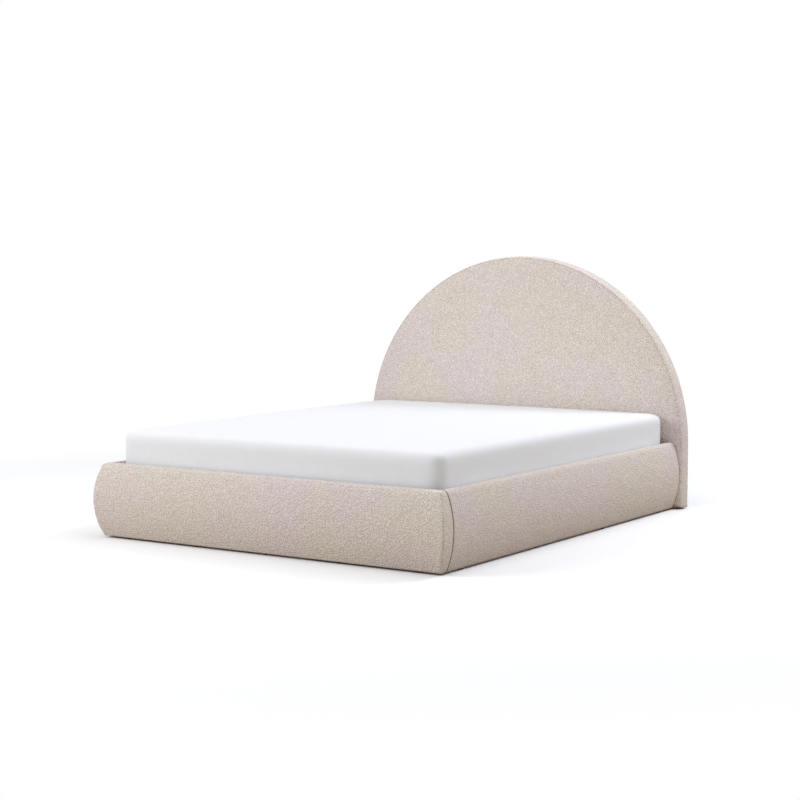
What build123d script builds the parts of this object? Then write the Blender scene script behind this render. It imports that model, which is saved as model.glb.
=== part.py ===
from build123d import *
from math import degrees
import os

# Upholstered platform bed with a half-round padded headboard that stands on the floor.
# Three bolster rails with a D-shaped section close the base: the foot rail returns round both
# corners, and the side rails butt against its back and against the headboard.
# Inside are boards, ledges, a centre beam on levelling feet, a slat roll and a mattress.
# Millimetres. +X is right for someone at the foot who faces the headboard, +Y points to the
# headboard and +Z is up. The origin is on the floor under the middle of the whole bed.

# Mattress and the room round it
mattress_width = 1600.0
mattress_length = 2000.0
mattress_height = 208.0
mattress_crown = 7.0
mattress_side_bow = 5.0
mattress_corner_radius = 62.0
mattress_top_radius = 46.0
mattress_bottom_radius = 22.0
side_room = 6.0
head_room = 7.0
foot_room = 12.0

# Upholstery
cover_thickness = 2.0
cover_room = 0.3
sheet_thickness = 1.2
sheet_hem = 110.0
back_cloth_thickness = 0.8
seam_room = 0.4
seam_radius = 6.0
hem_strip = 10.0

# Rails of the base
floor_room = 8.0
rail_height = 315.0
rail_bulge = 34.5
rail_edge_radius = 22.0
rail_back_radius = 7.0
side_rail_depth = 26.0
foot_rail_depth = 41.0
rail_board_thickness = 18.0
rail_top_foam = 12.0

# Headboard
headboard_overhang = 5.0
headboard_shoulder = 307.0
headboard_thickness = 85.0
headboard_edge_radius = 19.0
headboard_foam_thickness = 30.0
headboard_panel_thickness = 12.0
headboard_hem = 36.0
back_cloth_inset = 14.0
rim_rib_count = 3
cross_rail_height = 60.0
stile_width = 70.0

# Slat deck
deck_height = 245.0
slat_count = 13
slat_width = 85.0
slat_thickness = 20.0
slat_edge_radius = 3.0
slat_end_room = 2.0
slat_margin = 30.0
webbing_width = 30.0
webbing_thickness = 1.2
webbing_overhang = 12.0
webbing_place_share = 0.62
ledge_width = 30.0
ledge_height = 40.0
ledge_end_room = 4.0
ledge_bevel = 4.0

# Centre beam, hangers and legs
beam_width = 40.0
beam_height = 60.0
beam_wall = 2.0
beam_corner_radius = 5.0
beam_end_room = 2.0
hanger_thickness = 3.0
hanger_room = 0.5
hanger_reach = 50.0
hanger_height = 48.0
hanger_flange = 26.0
leg_count = 3
leg_diameter = 38.0
leg_wall = 2.0
leg_plate_length = 84.0
leg_plate_thickness = 4.0
leg_plug_height = 12.0
foot_diameter = 50.0
foot_height = 14.0
foot_edge_bevel = 2.0
stud_diameter = 10.0
stud_spare = 18.0
stud_room = 0.05
foot_travel = 12.0

# Corner brackets and fasteners
bracket_arm = 60.0
bracket_low = 48.0
bracket_room = 12.0
bracket_thickness = 3.0
bolt_diameter = 8.0
bolt_room = 0.3
bolt_head_width = 13.0
bolt_head_height = 5.3
bolt_short = 1.0
tee_flange_width = 19.0
tee_flange_thickness = 1.5
tee_barrel_diameter = 10.5
tee_barrel_length = 11.0
screw_diameter = 4.8
screw_head_diameter = 9.0
screw_head_height = 3.0
screw_room = 0.15
ledge_screw_count = 5
ledge_screw_length = 42.0
hanger_screw_length = 15.0
leg_bolt_diameter = 6.0
leg_bolt_head_width = 10.0
leg_bolt_head_height = 4.0
leg_bolt_length = 14.0
leg_bolt_room = 2.5

# Glides that the bed stands on
glide_diameter = 23.0
glide_taper = 2.0
headboard_glide_diameter = 34.0
side_glide_count = 4
foot_glide_count = 5
glide_margin = 120.0

# Shares of the sizes that they follow
bracket_bolt_height_shares = (0.22, 0.78)
hanger_screw_height_shares = (0.28, 0.72)

# One overrun serves every cut
overrun = 5.0

# Sides of the small prisms: fasteners with the holes that they go through, and glides
fastener_sides = 6
glide_sides = 12

# Places worked out from the sizes above
skin = cover_thickness + cover_room
inner_half_width = mattress_width / 2 + side_room
base_half_width = inner_half_width + side_rail_depth
headboard_width = 2 * (base_half_width + rail_bulge + headboard_overhang)
inner_length = mattress_length + head_room + foot_room
overall_length = headboard_thickness + inner_length + foot_rail_depth + rail_bulge
head_front_y = overall_length / 2 - headboard_thickness
head_back_y = overall_length / 2
foot_back_y = head_front_y - inner_length
foot_edge_y = foot_back_y - foot_rail_depth
side_board_in_x = inner_half_width + skin
side_board_out_x = side_board_in_x + rail_board_thickness
foot_board_in_y = foot_back_y - skin
foot_board_out_y = foot_board_in_y - rail_board_thickness
side_rail_low_y = foot_back_y + seam_room
side_rail_high_y = head_front_y - seam_room
panel_front_y = head_front_y + skin + headboard_foam_thickness
panel_back_y = panel_front_y + headboard_panel_thickness
head_frame_back_y = head_back_y - back_cloth_thickness - skin
rim_radius = headboard_width / 2 - skin
rim_inner_radius = side_board_in_x
ledge_top = deck_height - slat_thickness
ledge_low = ledge_top - ledge_height
cover_turn_height = ledge_top + cover_thickness * 2
bracket_height = ledge_low - bracket_room - bracket_low
beam_low = ledge_top - beam_height
beam_low_y = foot_board_in_y + beam_end_room
beam_high_y = head_front_y - beam_end_room
mattress_low = deck_height + webbing_thickness
mattress_middle_y = head_front_y - head_room - mattress_length / 2
bolt_heights = [bracket_low + share * bracket_height for share in bracket_bolt_height_shares]
hanger_low = beam_low - hanger_thickness
hanger_screw_heights = [hanger_low + share * hanger_height for share in hanger_screw_height_shares]
hanger_screw_x = beam_width / 2 + hanger_room + hanger_thickness + hanger_flange / 2
stud_length = leg_plug_height + foot_travel + stud_spare


def box_between(low, high):
    """Box from its lowest to its highest corner."""
    size = [top - bottom for bottom, top in zip(low, high)]
    return Pos(*low) * Box(*size, align=(Align.MIN, Align.MIN, Align.MIN))


def rod(start, direction, diameter, length):
    """Round rod that starts at a point and runs along a direction."""
    body = Cylinder(diameter / 2, length, align=(Align.CENTER, Align.CENTER, Align.MIN))
    return Plane(origin=start, z_dir=direction) * body


def prism(start, direction, width, length):
    """Hexagonal bar for a fastener or its hole, as wide across its flats as the round one is."""
    face = RegularPolygon(width / 2, fastener_sides, major_radius=False)
    return extrude(Plane(origin=start, z_dir=direction) * face, amount=length, dir=direction)


def shifted(point, direction, distance):
    """Point moved along a direction."""
    return tuple(p + d * distance for p, d in zip(point, direction))


def backwards(direction):
    """Opposite direction."""
    return tuple(-d for d in direction)


def joined(pieces):
    """Separate solids kept together as one group."""
    return Compound(children=[solid for piece in pieces for solid in piece.solids()])


def cut(body, cutters):
    """Body less every cutter in a list."""
    for cutter in cutters:
        body = body - cutter
    return body


def cut_group(pieces, cutters):
    """Group of solids, each less every cutter."""
    return joined([cut(piece, cutters) for piece in pieces])


def save(name, shape):
    """One file for each named piece."""
    export_step(shape, f"parts/{name}.step")


# Bolster rails

def bowed_section(left, right, left_bows, inset):
    """Face of a rail between two sides: the right side always bows out, the left one may."""
    low = floor_room
    high = rail_height
    middle = (low + high) / 2
    right_side = ThreePointArc((right, low), (right + rail_bulge, middle), (right, high))
    if left_bows:
        left_side = ThreePointArc((left, high), (left - rail_bulge, middle), (left, low))
    else:
        left_side = Line((left, high), (left, low))
    edges = [Line((left, low), (right, low)), right_side, Line((right, high), (left, high)), left_side]
    face = make_face(edges)
    top = face.vertices().group_by(Axis.Y)[-1].sort_by(Axis.X)
    face = fillet(top[-1], rail_edge_radius)
    top = face.vertices().group_by(Axis.Y)[-1].sort_by(Axis.X)
    face = fillet(top[0], rail_edge_radius if left_bows else rail_back_radius)
    return offset(face, -inset) if inset else face


def side_form(inset):
    """Right side rail's whole form, drawn in on every side by inset."""
    section = bowed_section(inner_half_width, base_half_width, False, inset)
    low = side_rail_low_y + inset
    high = side_rail_high_y - inset
    form = extrude(Pos(0, low, 0) * (Plane.XZ * section), amount=high - low, dir=(0, 1, 0))
    for end in (low, high):
        edges = form.edges().filter_by_position(Axis.Y, end, end)
        edges = [e for e in edges if e.center().X > base_half_width - inset]
        form = fillet(edges, seam_radius - inset)
    return form


def foot_form(inset):
    """Foot rail's whole form: its bowed front meets its bowed ends in mitred corners."""
    front = bowed_section(0, foot_rail_depth, False, inset)
    plane = Plane(origin=(0, foot_back_y, 0), x_dir=(0, -1, 0), z_dir=(-1, 0, 0))
    reach = base_half_width + rail_bulge + overrun
    along = extrude(Pos(-reach, 0, 0) * (plane * front), amount=2 * reach, dir=(1, 0, 0))
    ends = bowed_section(-base_half_width, base_half_width, True, inset)
    start = foot_edge_y - rail_bulge - overrun
    across = extrude(
        Pos(0, start, 0) * (Plane.XZ * ends), amount=foot_back_y + overrun - start, dir=(0, 1, 0)
    )
    return along & across


def rail_board_side():
    """Right side rail's board, drilled for bolts and ledge screws."""
    low = (side_board_in_x, side_rail_low_y + skin, floor_room + skin)
    high = (side_board_out_x, side_rail_high_y - skin, rail_height - skin - rail_top_foam)
    board = box_between(low, high) & side_form(skin)
    pockets = [nut_pocket((side_board_out_x, y, z), (-1, 0, 0)) for y, z in side_bolt_places()]
    holes = [
        prism((side_board_in_x - overrun, y, z), (1, 0, 0), screw_diameter + 2 * screw_room,
              overrun + ledge_screw_length - ledge_width + overrun)
        for y, z in ledge_screw_places()
    ]
    return cut(board, pockets + holes)


def rail_board_foot():
    """Foot rail's board, as long as the base between the side boards' outer faces."""
    low = (-side_board_out_x, foot_board_out_y, floor_room + skin)
    high = (side_board_out_x, foot_board_in_y, rail_height - skin - rail_top_foam)
    board = box_between(low, high)
    pockets = [
        nut_pocket((x, foot_board_out_y, z), (0, 1, 0)) for x, z in end_bolt_places()
    ]
    holes = [
        prism((x, foot_board_in_y + overrun, z), (0, -1, 0), screw_diameter + 2 * screw_room,
              overrun + hanger_screw_length)
        for x, z in hanger_screw_places()
    ]
    return cut(board, pockets + holes)


def side_cover():
    """Right side rail's cover: a sock that is stapled under the rail and behind the ledge."""
    shell = side_form(0) - side_form(cover_thickness)
    window = box_between(
        (inner_half_width - overrun, side_rail_low_y - overrun, floor_room - overrun),
        (side_board_in_x + hem_strip, side_rail_high_y + overrun, cover_turn_height),
    )
    return shell - window


def foot_cover():
    """Foot rail's cover, open behind the board between the two side rails."""
    shell = foot_form(0) - foot_form(cover_thickness)
    window = box_between(
        (-side_board_in_x, foot_board_in_y - hem_strip, floor_room - overrun),
        (side_board_in_x, foot_back_y + overrun, cover_turn_height),
    )
    return shell - window


def side_foam():
    """Right side rail's bolster, glued over its board."""
    low = (inner_half_width, side_rail_low_y, floor_room)
    high = (side_board_out_x, side_rail_high_y, rail_height - skin - rail_top_foam)
    return side_form(skin) - box_between(low, high)


def foot_foam():
    """Foot rail's bolster, which runs round both ends of its board."""
    low = (-side_board_out_x, foot_board_out_y, floor_room)
    high = (side_board_out_x, foot_back_y, rail_height - skin - rail_top_foam)
    return foot_form(skin) - box_between(low, high)


# Headboard

def arch_face(inset, bottom):
    """Half-round outline on straight sides, drawn in by inset."""
    reach = headboard_width / 2 - inset
    crown = ThreePointArc(
        (reach, headboard_shoulder), (0, headboard_shoulder + reach), (-reach, headboard_shoulder)
    )
    edges = [
        Line((-reach, bottom), (reach, bottom)),
        Line((reach, bottom), (reach, headboard_shoulder)),
        crown,
        Line((-reach, headboard_shoulder), (-reach, bottom)),
    ]
    return make_face(edges)


def arch_slab(inset, bottom, front, back, edge_radius=0):
    """Slab of the headboard's outline, whose front edge may be rounded all the way round."""
    face = Pos(0, front, 0) * (Plane.XZ * arch_face(inset, bottom))
    slab = extrude(face, amount=back - front, dir=(0, 1, 0))
    if edge_radius:
        edges = slab.edges().filter_by_position(Axis.Y, front, front)
        edges = [e for e in edges if e.center().Z > bottom + edge_radius]
        slab = fillet(edges, edge_radius)
    return slab


def headboard_cover():
    """Headboard's cover: front, boxing round the rim and a hem stapled to the back."""
    back = head_back_y - back_cloth_thickness
    outer = arch_slab(0, floor_room, head_front_y, back, headboard_edge_radius)
    inner = arch_slab(
        cover_thickness,
        floor_room + cover_thickness,
        head_front_y + cover_thickness,
        back - cover_thickness,
        headboard_edge_radius - cover_thickness,
    )
    window = arch_slab(headboard_hem, floor_room + headboard_hem, panel_back_y, back + overrun)
    holes = [
        prism((x, head_front_y - overrun, z), (0, 1, 0), bolt_diameter + 2 * bolt_room, 2 * overrun)
        for x, z in end_bolt_places()
    ]
    holes += [
        prism((x, head_front_y - overrun, z), (0, 1, 0), screw_diameter + 2 * screw_room, 2 * overrun)
        for x, z in hanger_screw_places()
    ]
    return cut(outer - inner - window, holes)


def fixing_pad_boxes():
    """Places of the timber pads in the foam, one behind each head bracket and one for the beam."""
    front = head_front_y + skin
    bracket_top = bracket_low + bracket_height
    boxes = []
    for side in (-1, 1):
        ends = sorted((side * (side_board_in_x - bracket_arm), side * side_board_in_x))
        boxes.append(
            box_between((ends[0], front, bracket_low), (ends[1], panel_front_y, bracket_top))
        )
    reach = hanger_screw_x + hanger_flange / 2
    boxes.append(
        box_between((-reach, front, hanger_low), (reach, panel_front_y, hanger_low + hanger_height))
    )
    return boxes


def headboard_holes():
    """Bolt and screw holes that run on through the pads and the panel."""
    start = head_front_y
    depth = panel_back_y + overrun - start
    holes = [
        prism((x, start, z), (0, 1, 0), bolt_diameter + 2 * bolt_room, depth)
        for x, z in end_bolt_places()
    ]
    holes += [
        prism((x, start, z), (0, 1, 0), screw_diameter + 2 * screw_room, head_screw_length())
        for x, z in hanger_screw_places()
    ]
    return holes


def headboard_foam():
    """Front padding with a rounded edge, cut out round the fixing pads."""
    slab = arch_slab(skin, floor_room + skin, head_front_y + skin, panel_front_y,
                     headboard_edge_radius - skin)
    return cut(slab, fixing_pad_boxes())


def headboard_panel():
    """Front panel with pockets for the tee nuts on its back."""
    panel = arch_slab(skin, floor_room + skin, panel_front_y, panel_back_y)
    pockets = [nut_pocket((x, panel_back_y, z), (0, -1, 0)) for x, z in end_bolt_places()]
    return cut(panel, pockets + headboard_holes())


def headboard_post(side):
    """Upright behind the panel at one side, from the glide to the spring of the arch."""
    ends = sorted((side * rim_inner_radius, side * rim_radius))
    return box_between(
        (ends[0], panel_back_y, floor_room + skin), (ends[1], head_frame_back_y, headboard_shoulder)
    )


def headboard_rib(index):
    """One curved segment of the rim, cut from thick ply."""
    step = 180 / rim_rib_count
    start = index * step
    outer = CenterArc((0, headboard_shoulder), rim_radius, start, step)
    inner = CenterArc((0, headboard_shoulder), rim_inner_radius, start, step)
    face = make_face([outer, inner, Line(outer @ 0, inner @ 0), Line(outer @ 1, inner @ 1)])
    face = Pos(0, panel_back_y, 0) * (Plane.XZ * face)
    return extrude(face, amount=head_frame_back_y - panel_back_y, dir=(0, 1, 0))


def headboard_cross_rail(low):
    """Rail between the two posts."""
    rail = box_between(
        (-rim_inner_radius, panel_back_y, low),
        (rim_inner_radius, head_frame_back_y, low + cross_rail_height),
    )
    return cut(rail, headboard_holes())


def middle_rail_low():
    """Height of the middle rail's underside: level with the beam that is screwed to it."""
    return hanger_low + hanger_height / 2 - cross_rail_height / 2


def headboard_stile():
    """Centre upright from the middle rail to the crown of the rim."""
    low = middle_rail_low() + cross_rail_height
    stile = box_between(
        (-stile_width / 2, panel_back_y, low),
        (stile_width / 2, head_frame_back_y, headboard_shoulder + rim_radius),
    )
    opening = rod((0, panel_back_y, headboard_shoulder), (0, 1, 0), 2 * rim_inner_radius,
                  head_frame_back_y - panel_back_y)
    return stile & opening


def headboard_back_cloth():
    """Thin cloth over the back, just inside the cover's hem."""
    low = floor_room + back_cloth_inset
    return arch_slab(back_cloth_inset, low, head_back_y - back_cloth_thickness, head_back_y)


# Deck, beam and legs

def slat_ledge():
    """Right ledge, screwed to the side board, with its lower inner edge bevelled."""
    ledge = box_between(
        (side_board_in_x - ledge_width, foot_board_in_y + ledge_end_room, ledge_low),
        (side_board_in_x, head_front_y - ledge_end_room, ledge_top),
    )
    edge = ledge.edges().filter_by(Axis.Y).group_by(Axis.Z)[0].sort_by(Axis.X)[0]
    ledge = chamfer(edge, ledge_bevel)
    face_x = side_board_in_x - ledge_width
    holes = []
    for y, z in ledge_screw_places():
        holes.append(prism((face_x - overrun, y, z), (1, 0, 0), screw_head_diameter + 2 * screw_room,
                           overrun + screw_head_height))
        holes.append(prism((face_x - overrun, y, z), (1, 0, 0), screw_diameter + 2 * screw_room,
                           ledge_width + 2 * overrun))
    return cut(ledge, holes)


def slat(index):
    """One slat across the bed, with eased long edges."""
    first = foot_board_in_y + slat_margin + slat_width / 2
    last = head_front_y - slat_margin - slat_width / 2
    middle = first + index * (last - first) / (slat_count - 1)
    reach = inner_half_width - slat_end_room
    board = box_between(
        (-reach, middle - slat_width / 2, ledge_top), (reach, middle + slat_width / 2, deck_height)
    )
    return fillet(board.edges().filter_by(Axis.X), slat_edge_radius)


def slat_webbing(side):
    """Tape that holds the slats at their spacing, stapled along their tops."""
    middle = side * webbing_place_share * inner_half_width
    low = foot_board_in_y + slat_margin - webbing_overhang
    high = head_front_y - slat_margin + webbing_overhang
    return box_between(
        (middle - webbing_width / 2, low, deck_height),
        (middle + webbing_width / 2, high, deck_height + webbing_thickness),
    )


def centre_beam():
    """Rectangular steel tube under the middle of the slats, drilled for the leg bolts."""
    outer = RectangleRounded(beam_width, beam_height, beam_corner_radius)
    inner = RectangleRounded(
        beam_width - 2 * beam_wall, beam_height - 2 * beam_wall, beam_corner_radius - beam_wall
    )
    face = Pos(0, beam_low_y, beam_low + beam_height / 2) * (Plane.XZ * (outer - inner))
    tube = extrude(face, amount=beam_high_y - beam_low_y, dir=(0, 1, 0))
    holes = [
        prism((0, y, beam_low - overrun), (0, 0, 1), leg_bolt_diameter + 2 * bolt_room,
              overrun + beam_wall + overrun)
        for y in leg_bolt_places()
    ]
    return cut(tube, holes)


def beam_hanger(face_y, inwards):
    """Saddle of bent plate that hangs one end of the beam: two flanges, two cheeks and a seat."""
    inner_x = beam_width / 2 + hanger_room
    outer_x = inner_x + hanger_thickness
    top = hanger_low + hanger_height
    ends = sorted((face_y, face_y + inwards * hanger_reach))
    plates = sorted((face_y, face_y + inwards * hanger_thickness))
    saddle = box_between((-outer_x, ends[0], hanger_low), (outer_x, ends[1], beam_low))
    for side in (-1, 1):
        cheek = sorted((side * inner_x, side * outer_x))
        flange = sorted((side * inner_x, side * (outer_x + hanger_flange)))
        saddle += box_between((cheek[0], ends[0], hanger_low), (cheek[1], ends[1], top))
        saddle += box_between((flange[0], plates[0], hanger_low), (flange[1], plates[1], top))
    holes = [
        prism((x, face_y - overrun, z), (0, 1, 0), screw_diameter + 2 * screw_room, 2 * overrun)
        for x, z in hanger_screw_places()
    ]
    return cut(saddle, holes)


def leg_middles():
    """Where the legs stand along the beam, evenly apart."""
    step = (beam_high_y - beam_low_y) / (leg_count + 1)
    return [beam_low_y + step * (index + 1) for index in range(leg_count)]


def leg_bolt_offset():
    """From a leg's axis to its bolts."""
    return leg_diameter / 2 + leg_bolt_head_width / 2 + leg_bolt_room


def leg_bolt_places():
    """Y of every leg bolt."""
    return [y + side * leg_bolt_offset() for y in leg_middles() for side in (-1, 1)]


def centre_leg(middle):
    """Steel leg: top plate, tube and a plug threaded for the levelling foot."""
    plate_low = beam_low - leg_plate_thickness
    plate = box_between(
        (-beam_width / 2, middle - leg_plate_length / 2, plate_low),
        (beam_width / 2, middle + leg_plate_length / 2, beam_low),
    )
    plate = chamfer(plate.edges().filter_by(Axis.Z), beam_corner_radius)
    tube = rod((0, middle, foot_height), (0, 0, 1), leg_diameter, plate_low - foot_height)
    plug_top = foot_height + leg_plug_height
    hollow = rod((0, middle, plug_top), (0, 0, 1), leg_diameter - 2 * leg_wall, plate_low - plug_top)
    bore = rod((0, middle, foot_height - overrun), (0, 0, 1), stud_diameter + 2 * stud_room,
               leg_plug_height + 2 * overrun)
    holes = [
        prism((0, middle + side * leg_bolt_offset(), plate_low - overrun), (0, 0, 1),
              leg_bolt_diameter + 2 * bolt_room, leg_plate_thickness + 2 * overrun)
        for side in (-1, 1)
    ]
    return cut(plate + tube, [hollow, bore] + holes)


def levelling_foot(middle):
    """Plastic foot on a threaded stud, screwed right in as the bed stands."""
    base = rod((0, middle, 0), (0, 0, 1), foot_diameter, foot_height)
    base = chamfer(base.edges().filter_by(GeomType.CIRCLE), foot_edge_bevel)
    return base + rod((0, middle, foot_height / 2), (0, 0, 1), stud_diameter,
                      foot_height / 2 + stud_length)


# Fasteners and brackets

def end_bolt_places():
    """X and Z of the bracket bolts that run along Y, into the foot board or the headboard."""
    x = side_board_in_x - bracket_arm / 2
    return [(side * x, z) for side in (-1, 1) for z in bolt_heights]


def side_bolt_places():
    """Y and Z of the right side's bracket bolts that run along X, into the side board."""
    ends = (foot_board_in_y + bracket_arm / 2, head_front_y - bracket_arm / 2)
    return [(y, z) for y in ends for z in bolt_heights]


def ledge_screw_places():
    """Y and Z of the screws along one ledge."""
    low = foot_board_in_y + bracket_arm
    high = head_front_y - bracket_arm
    step = (high - low) / (ledge_screw_count - 1)
    height = (ledge_low + ledge_top) / 2
    return [(low + index * step, height) for index in range(ledge_screw_count)]


def hanger_screw_places():
    """X and Z of the four screws of a beam hanger."""
    return [(side * hanger_screw_x, z) for side in (-1, 1) for z in hanger_screw_heights]


def head_screw_length():
    """Hanger screws at the head bite as deep into the middle rail as those at the foot do."""
    return panel_back_y - head_front_y + hanger_screw_length


def corner_bracket(corner_y, inwards):
    """Right-hand angle bracket between a side board and the foot board or the headboard."""
    along = sorted((corner_y, corner_y + inwards * bracket_arm))
    across = sorted((corner_y, corner_y + inwards * bracket_thickness))
    top = bracket_low + bracket_height
    bracket = box_between((side_board_in_x - bracket_thickness, along[0], bracket_low),
                          (side_board_in_x, along[1], top))
    bracket += box_between((side_board_in_x - bracket_arm, across[0], bracket_low),
                           (side_board_in_x, across[1], top))
    width = bolt_diameter + 2 * bolt_room
    holes = [
        prism((side_board_in_x - overrun, y, z), (1, 0, 0), width, 2 * overrun)
        for y, z in side_bolt_places()
    ]
    holes += [prism((x, corner_y - overrun, z), (0, 1, 0), width, 2 * overrun) for x, z in end_bolt_places()]
    return cut(bracket, holes)


def bolt(place, direction, length):
    """Hexagon bolt whose head sits on a place, and whose shank runs along a direction."""
    head = prism(place, backwards(direction), bolt_head_width, bolt_head_height)
    return head + prism(place, direction, bolt_diameter, length)


def screw(place, direction, length):
    """Wood screw with a flat head."""
    head = prism(place, backwards(direction), screw_head_diameter, screw_head_height)
    return head + prism(place, direction, screw_diameter, length)


def tee_nut(place, direction):
    """Tee nut let into a board's far face: a flange and a barrel that runs back to the bolt."""
    nut = prism(place, direction, tee_flange_width, tee_flange_thickness)
    nut += prism(place, direction, tee_barrel_diameter, tee_barrel_length)
    bore = prism(shifted(place, direction, -overrun), direction, bolt_diameter + 2 * stud_room,
                 tee_barrel_length + 2 * overrun)
    return nut - bore


def nut_pocket(place, direction):
    """Cutter for a tee nut's seat and the bolt's way through the board."""
    start = shifted(place, direction, -overrun)
    pocket = prism(start, direction, tee_flange_width + 2 * screw_room, overrun + tee_flange_thickness)
    pocket += prism(start, direction, tee_barrel_diameter + 2 * screw_room, overrun + tee_barrel_length)
    through = 2 * overrun + rail_board_thickness
    return pocket + prism(start, direction, bolt_diameter + 2 * bolt_room, through)


def both_sides(pieces):
    """Pieces and their mirror images on the left."""
    return pieces + [mirror(piece, about=Plane.YZ) for piece in pieces]


def bracket_bolts():
    """Bolts of the four corner brackets."""
    into_board = bracket_thickness + rail_board_thickness - bolt_short
    side_x = side_board_in_x - bracket_thickness
    bolts = both_sides([bolt((side_x, y, z), (1, 0, 0), into_board) for y, z in side_bolt_places()])
    foot_y = foot_board_in_y + bracket_thickness
    head_y = head_front_y - bracket_thickness
    into_head = panel_back_y - head_y + bolt_short
    for x, z in end_bolt_places():
        bolts.append(bolt((x, foot_y, z), (0, -1, 0), into_board))
        bolts.append(bolt((x, head_y, z), (0, 1, 0), into_head))
    return joined(bolts)


def tee_nuts():
    """Tee nuts that the bracket bolts pull on."""
    nuts = both_sides([tee_nut((side_board_out_x, y, z), (-1, 0, 0)) for y, z in side_bolt_places()])
    for x, z in end_bolt_places():
        nuts.append(tee_nut((x, foot_board_out_y, z), (0, 1, 0)))
        nuts.append(tee_nut((x, panel_back_y, z), (0, -1, 0)))
    return joined(nuts)


def ledge_screws():
    """Screws of both ledges, their heads let into the wood."""
    x = side_board_in_x - ledge_width + screw_head_height
    length = ledge_screw_length - screw_head_height
    return joined(both_sides([screw((x, y, z), (1, 0, 0), length) for y, z in ledge_screw_places()]))


def hanger_screws():
    """Screws of both beam hangers."""
    foot_y = foot_board_in_y + hanger_thickness
    head_y = head_front_y - hanger_thickness
    screws = []
    for x, z in hanger_screw_places():
        screws.append(screw((x, foot_y, z), (0, -1, 0), hanger_thickness + hanger_screw_length))
        screws.append(screw((x, head_y, z), (0, 1, 0), hanger_thickness + head_screw_length()))
    return joined(screws)


def leg_bolts():
    """Short bolts that hold the leg plates up against the beam."""
    under = beam_low - leg_plate_thickness
    bolts = []
    for y in leg_bolt_places():
        head = prism((0, y, under), (0, 0, -1), leg_bolt_head_width, leg_bolt_head_height)
        bolts.append(head + prism((0, y, under), (0, 0, 1), leg_bolt_diameter, leg_bolt_length))
    return joined(bolts)


def glide(x, y, diameter):
    """Plastic glide, narrower where it meets the floor."""
    top = Pos(x, y, floor_room) * RegularPolygon(diameter / 2, glide_sides, major_radius=False)
    bottom = Pos(x, y, 0) * RegularPolygon(diameter / 2 - glide_taper, glide_sides, major_radius=False)
    return loft([bottom, top], ruled=True)


def spread(low, high, count):
    """Evenly spaced places from low to high."""
    return [low + index * (high - low) / (count - 1) for index in range(count)]


def rail_glides():
    """Glides under the two side boards and the foot board."""
    side_x = (side_board_in_x + side_board_out_x) / 2
    glides = []
    for y in spread(side_rail_low_y + glide_margin, side_rail_high_y - glide_margin, side_glide_count):
        glides += [glide(side_x, y, glide_diameter), glide(-side_x, y, glide_diameter)]
    foot_y = (foot_board_in_y + foot_board_out_y) / 2
    for x in spread(glide_margin - base_half_width, base_half_width - glide_margin, foot_glide_count):
        glides.append(glide(x, foot_y, glide_diameter))
    return joined(glides)


def headboard_glides():
    """Larger glides under the two posts."""
    x = (rim_radius + rim_inner_radius) / 2
    y = (panel_back_y + head_frame_back_y) / 2
    return joined([glide(side * x, y, headboard_glide_diameter) for side in (-1, 1)])


# Mattress

def mattress_form(inset):
    """Crowned block with soft edges, whose sides bow a little, drawn in by inset."""
    half_width = mattress_width / 2 - inset
    half_length = mattress_length / 2 - inset
    low = inset
    high = mattress_height - inset
    sink = high - mattress_crown / 2
    corner_x = half_width - mattress_side_bow
    corner_y = half_length - mattress_side_bow
    plan = make_face([
        ThreePointArc((corner_x, -corner_y), (half_width, 0), (corner_x, corner_y)),
        ThreePointArc((corner_x, corner_y), (0, half_length), (-corner_x, corner_y)),
        ThreePointArc((-corner_x, corner_y), (-half_width, 0), (-corner_x, -corner_y)),
        ThreePointArc((-corner_x, -corner_y), (0, -half_length), (corner_x, -corner_y)),
    ])
    plan = fillet(plan.vertices(), mattress_corner_radius - inset)
    block = extrude(Pos(0, 0, low) * plan, amount=high - low, dir=(0, 0, 1))
    crown_radius = (half_length ** 2 + (mattress_crown / 2) ** 2) / mattress_crown
    reach = half_width + overrun
    under = low - mattress_height
    profile = make_face([
        ThreePointArc((-reach, sink), (0, high), (reach, sink)),
        Line((reach, sink), (reach, under)),
        Line((reach, under), (-reach, under)),
        Line((-reach, under), (-reach, sink)),
    ])
    axis = Axis((0, 0, high - crown_radius), (1, 0, 0))
    sweep_angle = degrees(2 * (half_length + overrun) / crown_radius)
    turn = Pos(0, 0, high - crown_radius) * Rot(sweep_angle / 2, 0, 0) * Pos(0, 0, crown_radius - high)
    dome = revolve(turn * (Plane.XZ * profile), axis, -sweep_angle)
    block = block & dome
    top = block.edges().filter_by(lambda e: e.center().Z > high - mattress_top_radius)
    block = fillet(top, mattress_top_radius - inset)
    bottom = block.edges().filter_by_position(Axis.Z, low, low)
    block = fillet(bottom, mattress_bottom_radius - inset)
    return Pos(0, mattress_middle_y, mattress_low) * block


def sheet_window(room):
    """Opening inside the sheet's hem, under the mattress."""
    reach_x = mattress_width / 2 - sheet_hem - room
    reach_y = mattress_length / 2 - sheet_hem - room
    return box_between(
        (-reach_x, mattress_middle_y - reach_y, mattress_low),
        (reach_x, mattress_middle_y + reach_y, mattress_low + mattress_height / 2),
    )


def fitted_sheet():
    """Sheet over the mattress, with a hem drawn in under it."""
    shell = mattress_form(0) - mattress_form(sheet_thickness)
    return shell - (Pos(0, 0, -overrun) * sheet_window(0))


def mattress_core():
    """Mattress under its sheet; it sits through the hem's opening on the deck."""
    return mattress_form(sheet_thickness + cover_room) + sheet_window(cover_room)


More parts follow.
